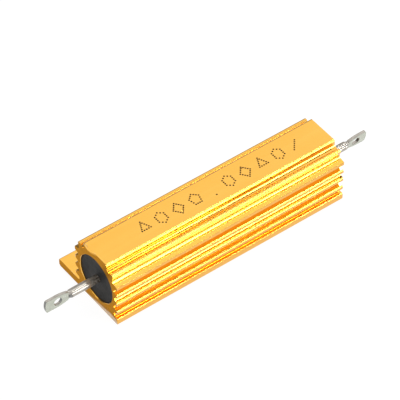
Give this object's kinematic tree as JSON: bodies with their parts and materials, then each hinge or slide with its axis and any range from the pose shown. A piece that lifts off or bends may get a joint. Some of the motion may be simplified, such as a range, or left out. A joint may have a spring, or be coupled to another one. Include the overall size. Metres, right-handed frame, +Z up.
{
  "type": "aluminium housed power resistor",
  "caption": "Wirewound power resistor in a finned gold anodised aluminium body with flange tabs and a flattened solder lug at each end.",
  "frame": {"origin": "on the underside of the base, midway along the body and under the bore's axis", "axes": "+X along the bore from the near end to the far end, +Y towards the mounting tabs, +Z up from the base"},
  "size_m": [0.0875, 0.022, 0.016],
  "materials": {
    "gold_anodised": "satin gold anodised extrusion",
    "tinned_lead": "hot tinned",
    "black_seal": "matt compound",
    "core_ceramic": "unglazed",
    "resistance_alloy": "dull rolled ribbon",
    "cap_steel": "pressed and plated",
    "moulding": "cement-like moulding"
  },
  "bodies": {
    "root": {"housing": "gold_anodised", "near_terminal": "tinned_lead", "far_terminal": "tinned_lead", "near_end_seal": "black_seal", "far_end_seal": "black_seal", "ceramic_core": "core_ceramic", "resistance_winding": "resistance_alloy", "near_end_cap": "cap_steel", "far_end_cap": "cap_steel", "potting_compound": "moulding"}
  },
  "joints": []
}
